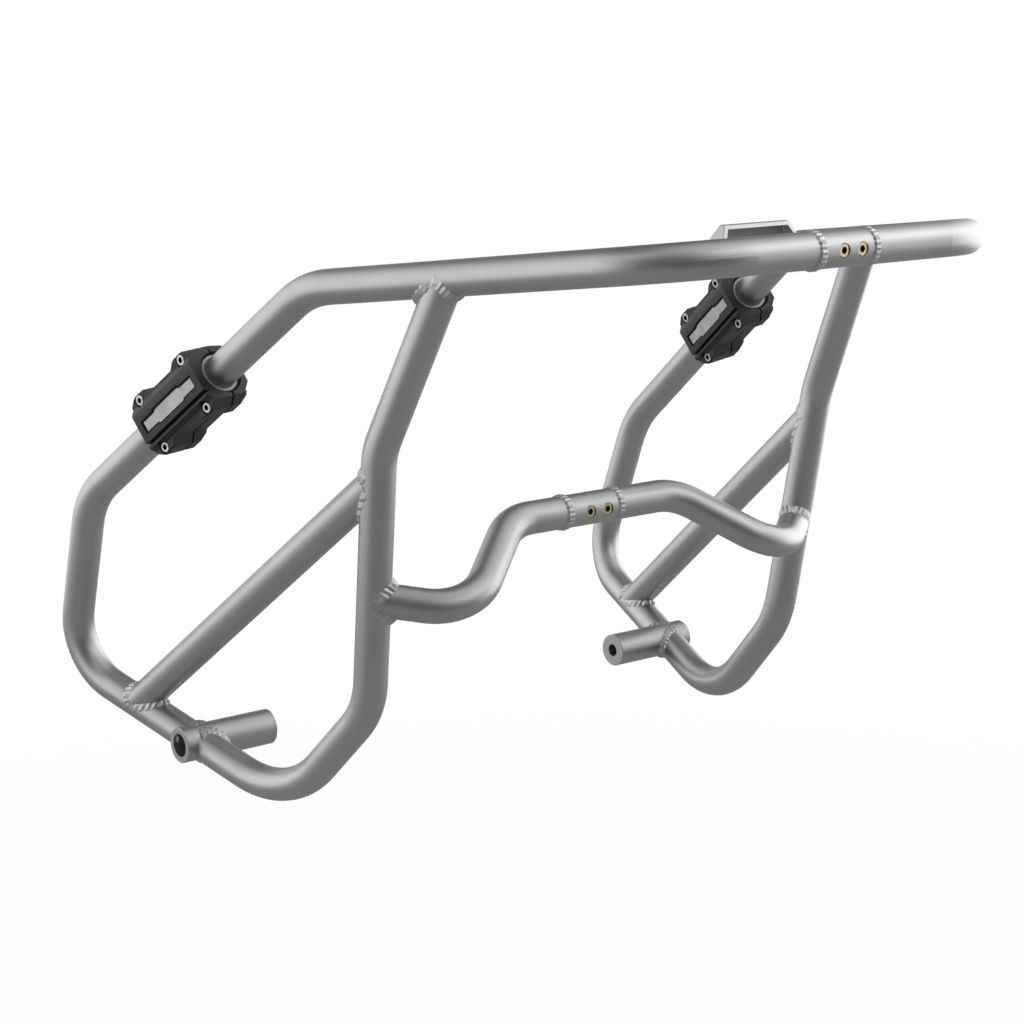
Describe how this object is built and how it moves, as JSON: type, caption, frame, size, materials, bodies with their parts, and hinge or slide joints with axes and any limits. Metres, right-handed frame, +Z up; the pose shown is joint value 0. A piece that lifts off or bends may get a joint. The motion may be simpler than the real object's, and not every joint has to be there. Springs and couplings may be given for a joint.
{
  "type": "motorcycle crash bars",
  "caption": "Bent-tube engine guard with two splayed side loops, diagonal braces, bolted front joints, lateral mounting bosses and clamp-on plastic sliders.",
  "frame": {"origin": "centre of the bounding box, on the plane midway between the two loops", "axes": "+Z up, -Y towards the front of the motorcycle, +X towards the rider's left"},
  "size_m": [0.6546, 0.6571, 0.506],
  "materials": {
    "tube": "bead blasted",
    "weld": "rippled weld",
    "joint_screw": "passivated steel",
    "pad": "moulded",
    "liner": "soft",
    "plate": "brushed",
    "screw": "bright"
  },
  "bodies": {
    "root": {"right_upper_tube": "tube", "right_lower_tube": "tube", "right_brace_tube": "tube", "right_cross_tube": "tube", "right_mount_boss": "tube", "right_pad_front": "pad", "right_pad_back": "pad", "right_pad_liner": "liner", "right_pad_plate": "plate", "right_pad_screws": "screw", "right_pad_nuts": "screw", "right_loop_welds": "weld", "right_boss_welds": "weld", "left_upper_tube": "tube", "left_lower_tube": "tube", "left_brace_tube": "tube", "left_cross_tube": "tube", "left_mount_boss": "tube", "left_pad_front": "pad", "left_pad_back": "pad", "left_pad_liner": "liner", "left_pad_plate": "plate", "left_pad_screws": "screw", "left_pad_nuts": "screw", "left_loop_welds": "weld", "left_boss_welds": "weld", "upper_joint_sleeve": "tube", "upper_joint_spigot": "tube", "upper_joint_screws": "joint_screw", "upper_joint_welds": "weld", "lower_joint_sleeve": "tube", "lower_joint_spigot": "tube", "lower_joint_screws": "joint_screw", "lower_joint_welds": "weld", "rear_bracket": "tube"}
  },
  "joints": []
}
